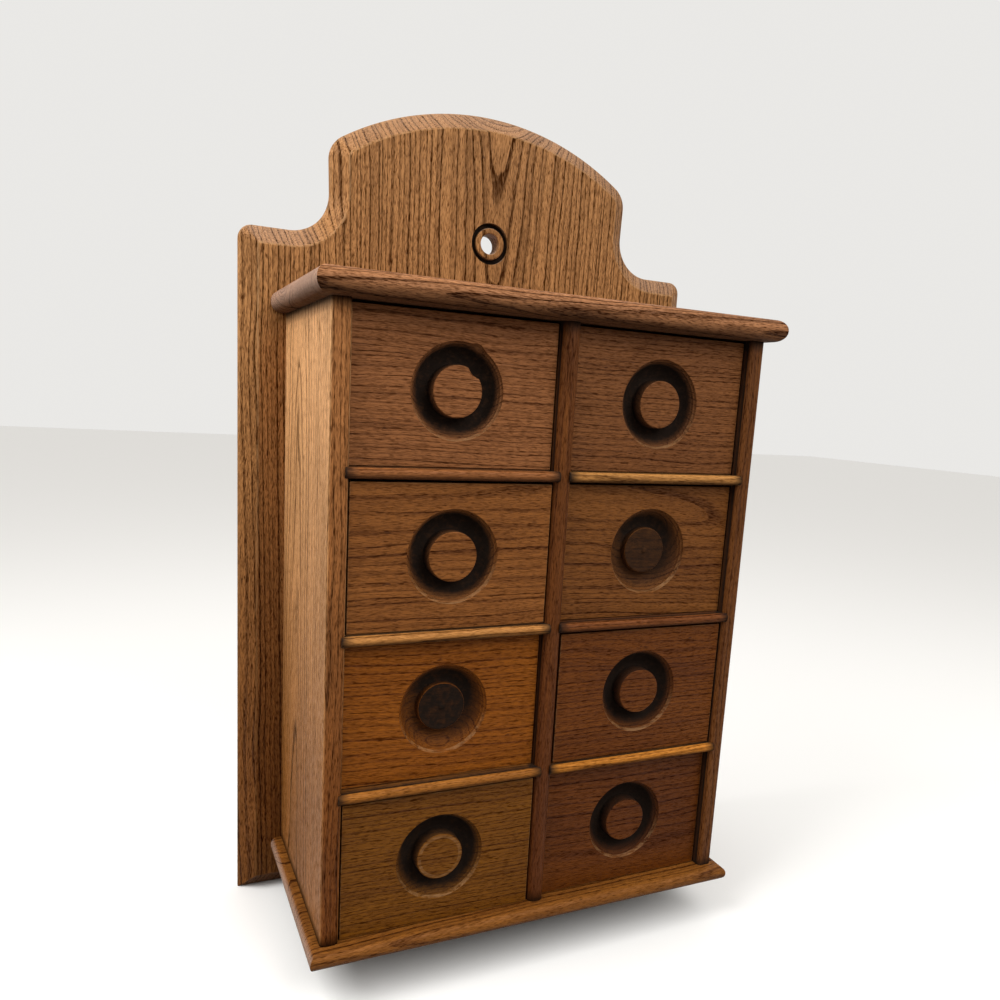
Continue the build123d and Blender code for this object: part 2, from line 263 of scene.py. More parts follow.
def oak_group():
    """Aged oak as a solid, in millimetres: X along the grain, the tree's heart on the X axis."""
    tree = bpy.data.node_groups.new("Aged oak", "ShaderNodeTree")
    for side, names, kind in (
        ("INPUT", ["Place"], "Vector"), ("INPUT", COLOURS, "Color"), ("INPUT", SHARES, "Float"),
        ("OUTPUT", ["Colour"], "Color"), ("OUTPUT", ["Height", "Gloss loss"], "Float"),
    ):
        for name in names:
            tree.interface.new_socket(name, in_out=side, socket_type=f"NodeSocket{kind}")
    sums = Sums(tree)
    given = sums.add("NodeGroupInput").outputs
    out = sums.add("NodeGroupOutput").inputs

    def pattern(name, at=given["Place"], output=0):
        return sums.noise(at, *PATTERNS[name])[output]

    def centred(value):
        return sums.math("SUBTRACT", value, 0.5)

    place = given["Place"]
    for name, bend in (("sway", SWAY), ("ripple", RIPPLE)):
        bent = sums.vector("SUBTRACT", pattern(name, output=1), (0.5, 0.5, 0.5))
        place = sums.vector("MULTIPLY_ADD", bent, (0.0, bend, bend), place)

    radius = sums.vector("LENGTH", sums.vector("MULTIPLY", place, (0, 1, 1)))
    years = sums.math("DIVIDE", radius, given["Ring"])
    years = sums.scaled(sums.line_noise(sums.times(years, 0.45)), 1.6, years)
    phase = sums.math("FRACT", years)
    year = sums.add("ShaderNodeTexWhiteNoise", noise_dimensions="1D")
    sums.feed(year.inputs["W"], sums.math("FLOOR", years))
    year = year.outputs["Value"]

    band = sums.times(sums.ease(phase, 0.0, 0.05), sums.ease(phase, 0.4, 0.1))
    early = sums.times(band, sums.scaled(year, 0.7, 0.5))
    late = sums.ease(phase, 0.45, 1.0)

    limit = sums.scaled(early, -0.16, 0.54)
    dashes = sums.ease(pattern("dashes", place), limit, sums.math("ADD", limit, 0.24))
    flecks = sums.times(sums.ease(pattern("flecks", place), 0.5, 0.64), 0.6)
    pores = sums.times(sums.math("MAXIMUM", dashes, flecks), given["Pores"])

    fibre = pattern("fibre", place)
    tone = sums.scaled(early, 0.62, -0.1)
    tone = sums.scaled(late, 0.14, tone)
    tone = sums.scaled(centred(year), 0.2, tone)
    tone = sums.times(tone, given["Contrast"])
    tone = sums.scaled(centred(fibre), 1.5, tone)
    tone = sums.scaled(centred(pattern("cloud")), 0.9, tone)
    clamped = sums.fed(sums.add("ShaderNodeClamp"), sums.math("ADD", tone, 0.36)).outputs[0]
    shade = sums.mix(clamped, given["Light"], given["Dark"])

    shade = sums.mix(sums.times(given["End grain"], 0.5), shade, given["End colour"])
    shade = sums.mix(pores, shade, given["Pore"], "MULTIPLY")
    knocks = sums.times(sums.ease(pattern("knocks"), 0.7, 0.76), 0.7)
    shade = sums.mix(knocks, shade, given["Pore"], "MULTIPLY")
    # Rubbed edges, and painted highlights on the backboard's arris and the pulls' lower rims,
    # lighten towards the worn colour
    wear_and_highlight = sums.times(given["Wear"], sums.ease(pattern("rub"), 0.36, 0.62))
    shade = sums.mix(wear_and_highlight, shade, given["Worn"])
    # Dirt and painted shade: hollows, gaps and undersides darken towards the colour of old dirt,
    # broken up by dust
    dust = sums.scaled(pattern("dust"), 0.4, 0.8)
    grime_and_shade = sums.times(given["Grime"], dust)
    shade = sums.mix(grime_and_shade, shade, given["Grime colour"])

    height = sums.scaled(pores, -0.8, sums.times(fibre, 0.25))
    sums.feed(out["Colour"], shade)
    sums.feed(out["Height"], sums.scaled(early, -0.2, height))
    sums.feed(out["Gloss loss"], sums.math("MAXIMUM", pores, grime_and_shade))


# How a board lies in the tree and looks: its grain's axis, the heart's place from its centre in
# mm, its lean in degrees, two colours, a ring's width in mm, the strength of rings and pores, tints
# for what faces the front (painted shade) and for its foot (painted shade and dirt), and a colour
# for its end grain
Cut = namedtuple(
    "Cut", "grain heart lean light dark ring contrast pores front foot end",
    defaults=(None, None, None))
DARK_SHARE, DARK_POWERS = 0.36, (1.0, 1.1, 1.2)  # the dark colour, made from the light one
# FRONT_SHADE_TURN: where the painted shade on faces that look forward starts and is full
END_TURN, FRONT_SHADE_TURN = (0.4, 0.95), (0.4, 0.85)  # how squarely a face looks that way: none, all
FOOT_SHADE_HEIGHTS = (0.40, 0.06)  # metres above the base where a foot's tint starts and is full


def grain_turn(grain, lean):
    """Rotation that lays the wood's X axis along the given axis of the cabinet, then leans it."""
    quarter = math.pi / 2
    along = {"X": Euler((0, 0, 0)), "Y": Euler((0, 0, quarter)), "Z": Euler((0, -quarter, 0))}
    tipped = Euler([math.radians(angle) for angle in lean]).to_matrix()
    return tipped @ along[grain].to_matrix()


def oak(name, centre, cut):
    """Oak for one board: its heart lies cut.heart millimetres from the board's centre."""
    settings = bpy.context.scene.cabinet_oak
    material, sums, shader = new_material(name)
    group = sums.add("ShaderNodeGroup", node_tree=bpy.data.node_groups["Aged oak"])
    turn = grain_turn(cut.grain, cut.lean)
    where = sums.add("ShaderNodeTexCoord").outputs
    mapping = sums.add("ShaderNodeMapping", vector_type="TEXTURE")
    sums.feed(mapping.inputs["Vector"], where["Object"])
    mapping.inputs["Location"].default_value = centre + Vector(cut.heart) * MM
    mapping.inputs["Rotation"].default_value = turn.to_euler()
    mapping.inputs["Scale"].default_value = (MM, MM, MM)
    along = sums.math("ABSOLUTE", sums.vector("DOT_PRODUCT", where["Normal"], turn @ RIGHT))
    colours = (
        cut.light, cut.dark, settings.pore_colour, settings.worn_and_highlight_colour, settings.grime_and_shade_colour,
        cut.end or settings.end_colour)
    noted = [
        sums.add("ShaderNodeAttribute", attribute_name=layer).outputs["Fac"]
        for layer in ("wear_and_highlight", "grime_and_shade")]
    shares = (cut.ring, cut.contrast, cut.pores, sums.ease(along, *END_TURN), *noted)
    sums.feed(group.inputs["Place"], mapping.outputs[0])
    for socket, value in zip(COLOURS, colours):
        sums.feed(group.inputs[socket], (*value, 1))
    for socket, value in zip(SHARES, shares):
        sums.feed(group.inputs[socket], value)
    shade = group.outputs["Colour"]
    # Painted shade: faces that look forward are darker, as the light comes from the left
    if cut.front:
        facing = sums.vector("DOT_PRODUCT", where["Normal"], -BACKWARD)
        shade = sums.mix(sums.ease(facing, *FRONT_SHADE_TURN), shade, (*cut.front, 1), "MULTIPLY")
    # Painted shade and dirt: the board is darker towards its base
    if cut.foot:
        height = sums.vector("DOT_PRODUCT", where["Object"], UP)
        shade = sums.mix(sums.ease(height, *FOOT_SHADE_HEIGHTS), shade, (*cut.foot, 1), "MULTIPLY")
    bump = sums.add("ShaderNodeBump")
    bump.inputs["Distance"].default_value = settings.pore_depth
    sums.feed(bump.inputs["Height"], group.outputs["Height"])
    loss = group.outputs["Gloss loss"]
    sums.feed(shader["Base Color"], shade)
    sums.feed(shader["Normal"], bump.outputs[0])
    sums.feed(shader["Roughness"], sums.scaled(loss, 0.3, settings.roughness))
    shine = settings.shine
    sums.feed(shader["Specular IOR Level"], sums.scaled(loss, -0.9 * shine, shine))
    return material


def srgb(red, green, blue):
    """Linear colour of a colour given as it looks on a screen, from 0 to 255."""
    return tuple(((part / 255 + 0.055) / 1.055) ** 2.4 for part in (red, green, blue))


def board_cut(grain, heart, look, lean=(0, 0, 0), ring=2.4, contrast=1.0, pores=0.85, **tints):
    """A board's cut, with its two colours made from the colour that it shows."""
    light = srgb(*look)
    dark = tuple(DARK_SHARE * part ** power for part, power in zip(light, DARK_POWERS))
    return Cut(grain, heart, lean, light, dark, ring, contrast, pores, **tints)


def shelf_cut(heart, look, ring=2.4):
    return board_cut("X", heart, look, ring=ring, contrast=1.6)


def front_cut(heart, look, lean, ring=2.2, contrast=0.8):
    """A drawer front's cut; its end grain is as dark as its rings."""
    cut = board_cut("X", heart, look, lean, ring, contrast)
    return cut._replace(end=cut.dark)


# The foot tints darken the backboard, left side and divider towards the base: painted shade and
# dirt
CASE_CUTS = {
    "backboard": board_cut(
        "Z", (3, 40, 0), (180, 127, 75), lean=(2.6, 0.3, 0), ring=2.9, contrast=1.9, pores=1.15,
        foot=(0.50, 0.38, 0.22)),
    "top_board": board_cut(
        "X", (0, 30, 34), (171, 116, 74), lean=(0, 1.5, 2), contrast=2.3, pores=1.1),
    "bottom_board": board_cut(
        "X", (0, 26, -40), (141, 87, 32), lean=(0, -1, 2), ring=2.6, contrast=1.6),
    # The left side's look is paler than its wood, as painted light from the lamp at the left
    "left_side": board_cut(
        "Z", (60, 20, 0), (248, 187, 128), lean=(0.6, 1.2, 0), ring=2.0, contrast=1.3, pores=0.95,
        front=(0.55, 0.42, 0.30), foot=(0.40, 0.29, 0.14)),
    "right_side": board_cut(
        "Z", (-58, 14, 0), (110, 64, 24), lean=(0.8, -1, 0), contrast=1.4),
    "centre_divider": board_cut(
        "Z", (18, 70, 0), (118, 68, 26), lean=(1, 0.6, 0), ring=2.6, foot=(0.66, 0.54, 0.38)),
    "left_shelf_1": shelf_cut((0, 22, 38), (153, 95, 50)),
    "left_shelf_2": shelf_cut((0, -30, 30), (204, 140, 74), ring=2.8),
    "left_shelf_3": shelf_cut((0, 26, -28), (169, 106, 40)),
    "right_shelf_1": shelf_cut((0, 30, 22), (199, 139, 73)),
    "right_shelf_2": shelf_cut((0, -20, 44), (134, 77, 33)),
    "right_shelf_3": shelf_cut((0, 34, 24), (210, 134, 49), ring=2.6),
}
FRONT_CUTS = {
    "left_drawer_1": front_cut((0, 40, 62), (158, 101, 58), (0, 0.8, 1)),
    "left_drawer_2": front_cut((0, 58, 46), (149, 92, 42), (0, -0.6, 0.6), 3.2, 1.0),
    "left_drawer_3": front_cut((0, 40, -64), (154, 87, 19), (0, 1.6, 0), 2.8),
    "left_drawer_4": front_cut((0, 30, 70), (128, 78, 15), (0, 0.5, -1)),
    "right_drawer_1": front_cut((0, 36, -64), (136, 85, 45), (0, -0.6, 1)),
    "right_drawer_2": front_cut((0, 50, 30), (130, 79, 33), (0, 3, 1), 2.8, 1.0),
    "right_drawer_3": front_cut((0, 48, 52), (115, 62, 12), (0, -1, -1)),
    "right_drawer_4": front_cut((0, 58, -30), (105, 54, 5), (0, 1, 0), 2.4),
}
BOX_CUTS = {
    "left_side": board_cut("Y", (40, 0, 22), (176, 132, 86), ring=2.6, contrast=0.5),
    "right_side": board_cut("Y", (-44, 0, 30), (172, 130, 88), contrast=0.5),
    "back": board_cut("X", (0, 38, 24), (174, 130, 84), ring=2.6, contrast=0.5),
    "bottom": board_cut("X", (0, 18, 42), (180, 138, 92), ring=2.8, contrast=0.5),
}


# Pieces


def new_work():
    """Empty mesh that can hold how far each face is rubbed, with its painted highlights, and how
    much dirt and painted shade darken each point.
    """
    work = bmesh.new()
    work.faces.layers.float.new("wear_and_highlight")
    work.verts.layers.float.new("grime_and_shade")
    return work


def new_block(low, high):
    """Rectangular board between two corners."""
    work = new_work()
    bmesh.ops.create_cube(work, size=1.0)
    bmesh.ops.scale(work, vec=high - low, verts=work.verts)
    bmesh.ops.translate(work, vec=(low + high) / 2, verts=work.verts)
    return work


def ends_of(edges):
    """Each vertex of the edges, once and in order, so that every run gives the same mesh."""
    return list(dict.fromkeys(vert for edge in edges for vert in edge.verts))


def lies_along(edge, axis):
    """Whether an edge runs along the axis."""
    run = (edge.verts[1].co - edge.verts[0].co).normalized()
    return abs(run.dot(axis)) > 0.999


def front_edges(work, axis, low):
    """A board's edges that run along the axis at its front."""
    return [e for e in work.edges if lies_along(e, axis) and e.verts[0].co.y < low.y + MM]


def radius_of(place):
    """Distance of a place from the Y axis."""
    return math.hypot(place.x, place.z)


def rounded(work, geom, width, steps, affect):
    """Rounds edges or corners; returns the new faces."""
    return bmesh.ops.bevel(
        work, geom=geom, offset=width, offset_type="OFFSET", segments=steps, profile=0.5,
        affect=affect, clamp_overlap=True, material=-1)["faces"]


def round_edges(work, edges, width, steps, wear_and_highlight=0.0):
    """Rounds the edges and notes how far they are rubbed."""
    layer = work.faces.layers.float["wear_and_highlight"]
    for face in rounded(work, edges, width, steps, "EDGES"):
        face[layer] = wear_and_highlight


def soil_and_shade(work, strength, touched):
    """Notes one strength of dirt and painted shade on the points whose place is touched."""
    layer = work.verts.layers.float["grime_and_shade"]
    for vert in work.verts:
        if touched(vert.co):
            vert[layer] = strength


def slice_at(work, place, normal):
    """Adds edges where a plane crosses the shape."""
    geometry = work.verts[:] + work.edges[:] + work.faces[:]
    bmesh.ops.bisect_plane(
        work, geom=geometry, dist=MM / 1000, plane_co=place, plane_no=normal)


def cut_channel(work, low, high, axis, floor, into):
    """Cuts a groove that runs right through along Y, between heights low and high, into the face
    that looks along -into, as deep as the plane at floor."""
    for place, normal in ((UP * low, UP), (UP * high, UP), (axis * floor, axis)):
        slice_at(work, place, normal)
    doomed = []
    for face in work.faces:
        middle = face.calc_center_median()
        if low < middle.z < high and (middle.dot(axis) - floor) * into < 0:
            doomed.append(face)
    bmesh.ops.delete(work, geom=doomed, context="FACES")
    ledge = [v for v in work.verts if v.is_boundary and abs(v.co.dot(axis) - floor) < NEAR]
    ledge = [v for v in ledge if low - NEAR < v.co.z < high + NEAR]
    bmesh.ops.contextual_create(work, geom=ledge)
    bmesh.ops.holes_fill(work, edges=[e for e in work.edges if e.is_boundary], sides=0)


def new_object(name, data):
    made = bpy.data.objects.new(name, data)
    bpy.context.scene.collection.objects.link(made)
    return made


def oak_piece(work, node, body, cut, kind="oak"):
    """Turns the finished shape into oak that rides on a body in place of its CAD node."""
    low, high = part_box(node)
    name = f"{kind}_{node}"
    bmesh.ops.recalc_face_normals(work, faces=work.faces)
    mesh = bpy.data.meshes.new(name)
    work.to_mesh(mesh)
    work.free()
    mesh.shade_smooth()
    mesh.set_sharp_from_angle(angle=SMOOTH)
    mesh.materials.append(oak(name, (low + high) / 2, cut))
    piece = new_object(name, mesh)
    even = piece.modifiers.new("Even shading", "WEIGHTED_NORMAL")
    even.keep_sharp = True
    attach(piece, body)
    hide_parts(node)


def case_piece(work, node):
    oak_piece(work, node, "case", CASE_CUTS[node])


class Maker:
    """Base of the operators: makes their part of the scene."""

    def execute(self, context):
        self.make(context.scene)
        return {"FINISHED"}


BACK_ROUND = 7.5 * MM  # the shoulder's rounding on the backboard's back
BEVEL_FOOT = 0.87  # share of the bevel's depth where its rubbed foot ends
# The bevel from its foot to the face: share of its width and depth, the shoulder's rounding in mm
BEVEL_STEPS = ((0.1, BEVEL_FOOT, 6), (0.5, 0.46, 3))
BEVEL_LIP = (0.88, 0.75 * MM)  # share of its width and depth below the face, where it eases off
RING_GRIME_AND_SHADE = 2.8 * MM  # depth at which the dirt and painted shade in the turned ring are full


class CABINET_OT_backboard(Maker, bpy.types.Operator):
    """Makes the backboard with its crest, bevel and ringed hanging hole"""
    bl_idname = "cabinet.backboard"
    bl_label = "Backboard"

    def make(self, scene):
        sizes = scene.cabinet_backboard
        low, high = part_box("backboard")
        work = new_work()
        levels = (
            (ARRIS, high.y, BACK_ROUND), (0, high.y - ARRIS, sizes.shoulder_round),
            (0, low.y + sizes.bevel_depth, sizes.shoulder_round),
            *((sizes.bevel_width * across, low.y + sizes.bevel_depth * deep, rounding * MM)
              for across, deep, rounding in BEVEL_STEPS),
            (sizes.bevel_width * BEVEL_LIP[0], low.y + BEVEL_LIP[1], MM),
            (sizes.bevel_width, low.y, ARRIS),
        )
        loops = [outline(work, sizes, high, *level) for level in levels]
        for first, second in zip(loops, loops[1:]):
            bmesh.ops.bridge_loops(work, edges=first + second)
        # Worn wood and a painted highlight along the bevel's arris and foot
        mark_wear_and_highlight(work, low.y, sizes)
        centre = Vector((0, low.y, sizes.hole_height))
        ring_front, ring_back = hanging_ring(work, sizes, centre, high.y - low.y)
        # Dirt and painted shade in the turned ring, darkest in its upper part
        soil_and_shade_hollow(
            work, centre, sizes.ring_inner - MARGIN, sizes.ring_outer, sizes.ring_depth, RING_GRIME_AND_SHADE)
        bmesh.ops.triangle_fill(work, edges=loops[-1] + ring_front, use_beauty=True)
        screw_pits = screw_holes(work, high.y, scene.cabinet_fastener)
        bmesh.ops.triangle_fill(work, edges=loops[0] + ring_back + screw_pits, use_beauty=True)
        case_piece(work, "backboard")


def pit(work, centre, corners, share, drop):
    """Blind hole with its mouth at the corners round centre, narrowed to a share of that at its
    floor. Returns the edges of its mouth."""
    mouth = [work.verts.new(centre + corner) for corner in corners]
    floor = [work.verts.new(centre + corner * share + drop) for corner in corners]
    work.faces.new(floor)
    pairs = list(zip(range(-1, len(corners) - 1), range(len(corners))))
    for start, end in pairs:
        work.faces.new((mouth[start], mouth[end], floor[end], floor[start]))
    return [work.edges.get((mouth[start], mouth[end])) for start, end in pairs]


def screw_holes(work, face_y, sizes, steps=32):
    """Countersunk holes for the screws in the backboard's back."""
    low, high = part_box("back_screws")
    radius = sizes.head_radius + sizes.play
    share = (sizes.shank_radius + sizes.play) / radius
    circle = [polar(Vector(), radius, math.tau * step / steps) for step in range(steps)]
    drop = -BACKWARD * (sizes.head_radius - sizes.shank_radius)
    mouths = []
    for x in (low.x + sizes.head_radius, high.x - sizes.head_radius):
        for z in (low.z + sizes.head_radius, high.z - sizes.head_radius):
            mouths += pit(work, Vector((x, face_y, z)), circle, share, drop)
    return mouths


def nail_holes(work, nails, facing, sizes):
    """Square holes for the nails in a board's face that looks along facing."""
    low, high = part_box(nails)
    half = sizes.nail_width / 2
    reach = half + sizes.play
    signs = ((-1, -1), (1, -1), (1, 1), (-1, 1))
    square = [Vector((across * reach, back * reach, 0)) for across, back in signs]
    face = max(work.faces, key=lambda f: f.normal.dot(facing) * f.calc_area())
    level = face.calc_center_median().z
    border = face.edges[:]
    bmesh.ops.delete(work, geom=[face], context="FACES_ONLY")
    mouths = []
    for x in (low.x + half, (low.x + high.x) / 2, high.x - half):
        for y in (low.y + half, high.y - half):
            mouths += pit(work, Vector((x, y, level)), square, 1, facing * -sizes.nail_pit)
    bmesh.ops.triangle_fill(work, edges=border + mouths, use_beauty=True)


def mark_wear_and_highlight(work, face_y, sizes):
    """Notes the rubbed arris between the bevel and the face, and the bevel's rubbed foot: worn wood
    with a painted highlight.
    """
    layer = work.faces.layers.float["wear_and_highlight"]
    for face in work.faces:
        middle = face.calc_center_median().y
        if middle < face_y + ARRIS:
            face[layer] = 0.7
        elif face_y + sizes.bevel_depth * BEVEL_FOOT < middle < face_y + sizes.bevel_depth:
            face[layer] = 0.5


def arc(work, start, centre, sweep, steps):
    """Arc of edges from a new vertex at start, turned about centre as seen from the front."""
    first = work.verts.new(start)
    turned = bmesh.ops.spin(
        work, geom=[first], cent=centre, axis=BACKWARD, angle=-sweep, steps=steps)
    return first, [g for g in turned["geom_last"] if isinstance(g, bmesh.types.BMVert)][0]


def polar(centre, radius, angle):
    """Point of a circle seen from the front; the angle turns from +X towards +Z."""
    return centre + radius * Vector((math.cos(angle), 0, math.sin(angle)))


def outline(work, sizes, high, inset, y, shoulder_round):
    """Loop of edges at depth y, parallel to the backboard's outline and inset from it."""
    edge, top = high.x, high.z
    neck = edge - sizes.shoulder_width
    ear = neck + sizes.neck_lean
    crest_r = (ear ** 2 + sizes.crest_rise ** 2) / (2 * sizes.crest_rise)
    crest = Vector((0, y, top - crest_r))
    fall = Vector((neck - ear, 0, sizes.shoulder_height - (top - sizes.crest_rise))).normalized()
    outward = Vector((-fall.z, 0, fall.x))
    lean = math.atan2(outward.z, outward.x)
    foot = Vector((neck, y, sizes.shoulder_height))

    inner = foot - outward * sizes.ear_round
    across = inner - crest
    along = across.dot(fall)
    reach = math.sqrt(along ** 2 - across.length_squared + (crest_r - sizes.ear_round) ** 2)
    ear_centre = inner + fall * (-along - reach)
    ear_angle = math.atan2(ear_centre.z - crest.z, ear_centre.x)

    rise = (sizes.sweep_round - sizes.sweep_round * outward.z) / -fall.z
    sweep_centre = foot - fall * rise + outward * sizes.sweep_round
    corner = Vector((
        edge - inset - shoulder_round, y, sizes.shoulder_height - inset - shoulder_round))

    quarter = math.pi / 2
    ear_r = sizes.ear_round - inset
    sweep_r = sizes.sweep_round + inset
    arcs = (  # start, centre, sweep and facets
        (polar(crest, crest_r - inset, quarter), crest, ear_angle - quarter, 40),
        (polar(ear_centre, ear_r, ear_angle), ear_centre, lean - ear_angle, 12),
        (polar(sweep_centre, sweep_r, math.pi + lean), sweep_centre, quarter - lean, 20),
        (polar(corner, shoulder_round, quarter), corner, -quarter, 8),
    )
    before = set(work.edges)
    last = None
    for start, centre, sweep, steps in arcs:
        first, end = arc(work, start, centre, sweep, steps)
        if last:
            work.edges.new((last, first))
        last = end
    for point in ((edge - inset, y, inset), (0, y, inset)):
        vert = work.verts.new(point)
        work.edges.new((last, vert))
        last = vert
    half = [e for e in work.edges if e not in before]
    bmesh.ops.mirror(
        work, geom=ends_of(half) + half, matrix=Matrix.Identity(4), axis="X", merge_dist=NEAR)
    return [e for e in work.edges if e not in before]


def turned(work, profile, centre, steps, softness):
    """Spins a profile of (radius, depth) about the Y axis through centre. softness rounds each
    inner corner. Returns the edges of the profile's first and last circles."""
    verts = [work.verts.new(centre + Vector((radius, depth, 0))) for radius, depth in profile]
    for pair in zip(verts, verts[1:]):
        work.edges.new(pair)
    for vert, width in zip(verts[1:-1], softness):
        if width:
            rounded(work, [vert], width, 3, "VERTICES")
    wire = [e for e in work.edges if e.is_wire]
    points = ends_of(wire)
    bmesh.ops.spin(
        work, geom=points + wire, cent=centre, axis=BACKWARD, angle=math.tau, steps=steps,
        use_merge=True)
    return [
        [e for e in work.edges if e.is_boundary and on_circle(e, centre, radius, depth)]
        for radius, depth in (profile[0], profile[-1])]


def on_circle(edge, centre, radius, depth):
    """Whether both ends of an edge lie on a circle about the Y axis through centre."""
    places = [vert.co - centre for vert in edge.verts]
    return all(
        abs(at.y - depth) < NEAR and abs(radius_of(at) - radius) < 5 * NEAR for at in places)


def hanging_ring(work, sizes, centre, thickness):
    """Turned ring and hole; returns its circles on the face and on the back."""
    slope = 0.3 * MM
    profile = (
        (sizes.ring_outer, 0), (sizes.ring_outer - slope, sizes.ring_depth),
        (sizes.ring_inner + slope, sizes.ring_depth), (sizes.ring_inner, 0),
        (sizes.hole_radius, 0), (sizes.hole_radius, thickness),
    )
    return turned(work, profile, centre, 72, [soft * MM for soft in (0.5, 0.5, 0.7, 0.7)])


# How far the darkening reaches from where boards meet, and how strong it is from 0 to 1; in the
# gaps it is dirt and painted shade, under the boards painted shade
UPRIGHT_END_REACH, UPRIGHT_FRONT_REACH = 7 * MM, 9 * MM
SHELF_END_REACH, SHELF_FRONT_REACH = 5 * MM, 11 * MM
INNER_REACH = 3 * MM  # how far from an upright's inner face the dirt and painted shade beside a drawer lie
# Strength of the painted shade under the boards and shelves
BOARD_UNDERSIDE_SHADE, SHELF_UNDERSIDE_SHADE = 0.6, 0.75
# Strength of the darkening at a board's ends, and of the dirt and painted shade on a front's sides
BOARD_END_DARKENING, FRONT_SIDE_DIRT_AND_SHADE = 0.95, 0.5


class CABINET_OT_nosed_boards(Maker, bpy.types.Operator):
    """Makes the top and bottom boards, rounded on the front and both ends"""
    bl_idname = "cabinet.nosed_boards"
    bl_label = "Top and bottom boards"

    def make(self, scene):
        sizes = scene.cabinet_board
        boards = (
            ("top_board", sizes.top_nose, "top_nails", UP),
            ("bottom_board", sizes.bottom_nose, "bottom_nails", -UP),
        )
        for node, nose, nails, facing in boards:
            low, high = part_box(node)
            work = new_block(low, high)
            back = [e for e in work.edges if all(v.co.y > high.y - MM for v in e.verts)]
            level = [e for e in work.edges if e not in back and not lies_along(e, UP)]
            round_edges(work, level, nose, sizes.nose_steps)
            bmesh.ops.recalc_face_normals(work, faces=work.faces)
            nail_holes(work, nails, facing, scene.cabinet_fastener)
            # Painted shade under the board, darker towards its lower face
            shade_underside(work, low, high, BOARD_UNDERSIDE_SHADE)
            case_piece(work, node)


class CABINET_OT_uprights(Maker, bpy.types.Operator):
    """Makes both sides and the centre divider, with housings for the shelves"""
    bl_idname = "cabinet.uprights"
    bl_label = "Sides and divider"

    def make(self, scene):
        sizes = scene.cabinet_board
        uprights = (
            ("left_side", sizes.side_nose, (1,)), ("right_side", sizes.side_nose, (-1,)),
            ("centre_divider", sizes.divider_nose, (-1, 1)),
        )
        for node, nose, inner_faces in uprights:
            low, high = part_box(node)
            work = new_block(low, high)
            round_edges(work, front_edges(work, UP, low), nose, sizes.nose_steps)
            darken_ends(work, UP, low.z, high.z, UPRIGHT_END_REACH)
            for facing in inner_faces:
                face_x = high.x if facing > 0 else low.x
                # Dirt and painted shade in the gap beside the drawers
                soil_and_shade_gap(work, low.y, nose, UPRIGHT_FRONT_REACH, face_x)
                for shelf in SHELVES[:ROWS - 1]:
                    shelf_low, shelf_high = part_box(shelf)
                    floor = face_x - facing * sizes.housing
                    cut_channel(work, shelf_low.z, shelf_high.z, RIGHT, floor, -facing)
            case_piece(work, node)


class CABINET_OT_shelves(Maker, bpy.types.Operator):
    """Makes the six shelves with their rounded noses"""
    bl_idname = "cabinet.shelves"
    bl_label = "Shelves"

    def make(self, scene):
        sizes = scene.cabinet_board
        for node in SHELVES:
            low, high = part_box(node)
            work = new_block(low, high)
            edges = front_edges(work, RIGHT, low)
            round_edges(work, edges, sizes.shelf_nose, sizes.nose_steps)
            # Dirt and painted shade in the gaps above and below the drawers
            soil_and_shade_gap(work, low.y, sizes.shelf_nose, SHELF_FRONT_REACH)
            darken_ends(work, RIGHT, low.x, high.x, sizes.housing + SHELF_END_REACH)
            # Painted shade under the shelf
            shade_underside(work, low, high, SHELF_UNDERSIDE_SHADE)
            case_piece(work, node)


HUB = 0.4  # radius in mm of the small circle at a disc's middle
DISC_FLAT = 2.4 * MM  # how far inside the post a flat disc has one more circle
NIB = ((HUB, 0.8), (1.2, 0.7))  # radius and height in mm of the nib where the turning stopped
# A pull's wall from its floor to its rim: distance inside the rim, depth and how soft its corner
# is, in mm. The last four corners are ridges left by the turning tool.
PULL_WALL = (
    (5.3, 7.3, 1.0), (3.3, 5.2, 0.8), (2.2, 3.2, 0.15), (1.6, 2.7, 0.15), (1.2, 1.6, 0.15),
    (0.6, 1.2, 0.15),
)
# What broke out of an edge: its reach inside and outside the edge's radius, its angle and half its
# width in radians, and how far its middle has moved outward and in; the lengths are in mm
Chip = namedtuple("Chip", "inside outside angle spread push drop")
DISC_CHIP = Chip(inside=1.0, outside=0.7, angle=0.85, spread=0.3, push=-1.3, drop=1.2)
RIM_CHIP = Chip(inside=1.5, outside=1.0, angle=1.15, spread=0.16, push=1.4, drop=0)


def disc_profile(sizes, sunk):
    """Flat disc, or one turned down with tool marks round a nib where the turning stopped."""
    if not sunk:
        return [(HUB * MM, 0.0), (sizes.post - DISC_FLAT, 0.0)]
    points = [(radius * MM, sizes.sink - height * MM) for radius, height in NIB]
    marks = [
        ((1.9 + 1.25 * mark) * MM, sizes.sink + (mark % 2) * 0.14 * MM) for mark in range(9)]
    return points + marks


def pull_profile(sizes, sunk):
    """Profile of a ring pull from the disc's middle to its rim, and how soft each corner is."""
    disc = disc_profile(sizes, sunk)
    floor = (
        (sizes.post, sizes.sink if sunk else 0), (sizes.post + 0.4 * MM, sizes.depth),
        (sizes.post + sizes.floor, sizes.depth),
    )
    wall = [(sizes.rim - inside * MM, deep * MM) for inside, deep, soft in PULL_WALL]
    softness = [soft * MM for soft in (0.6, 0.8, 1.2, *(corner[2] for corner in PULL_WALL))]
    return [*disc, *floor, *wall, (sizes.rim, 0)], [0] * (len(disc) - 1) + softness


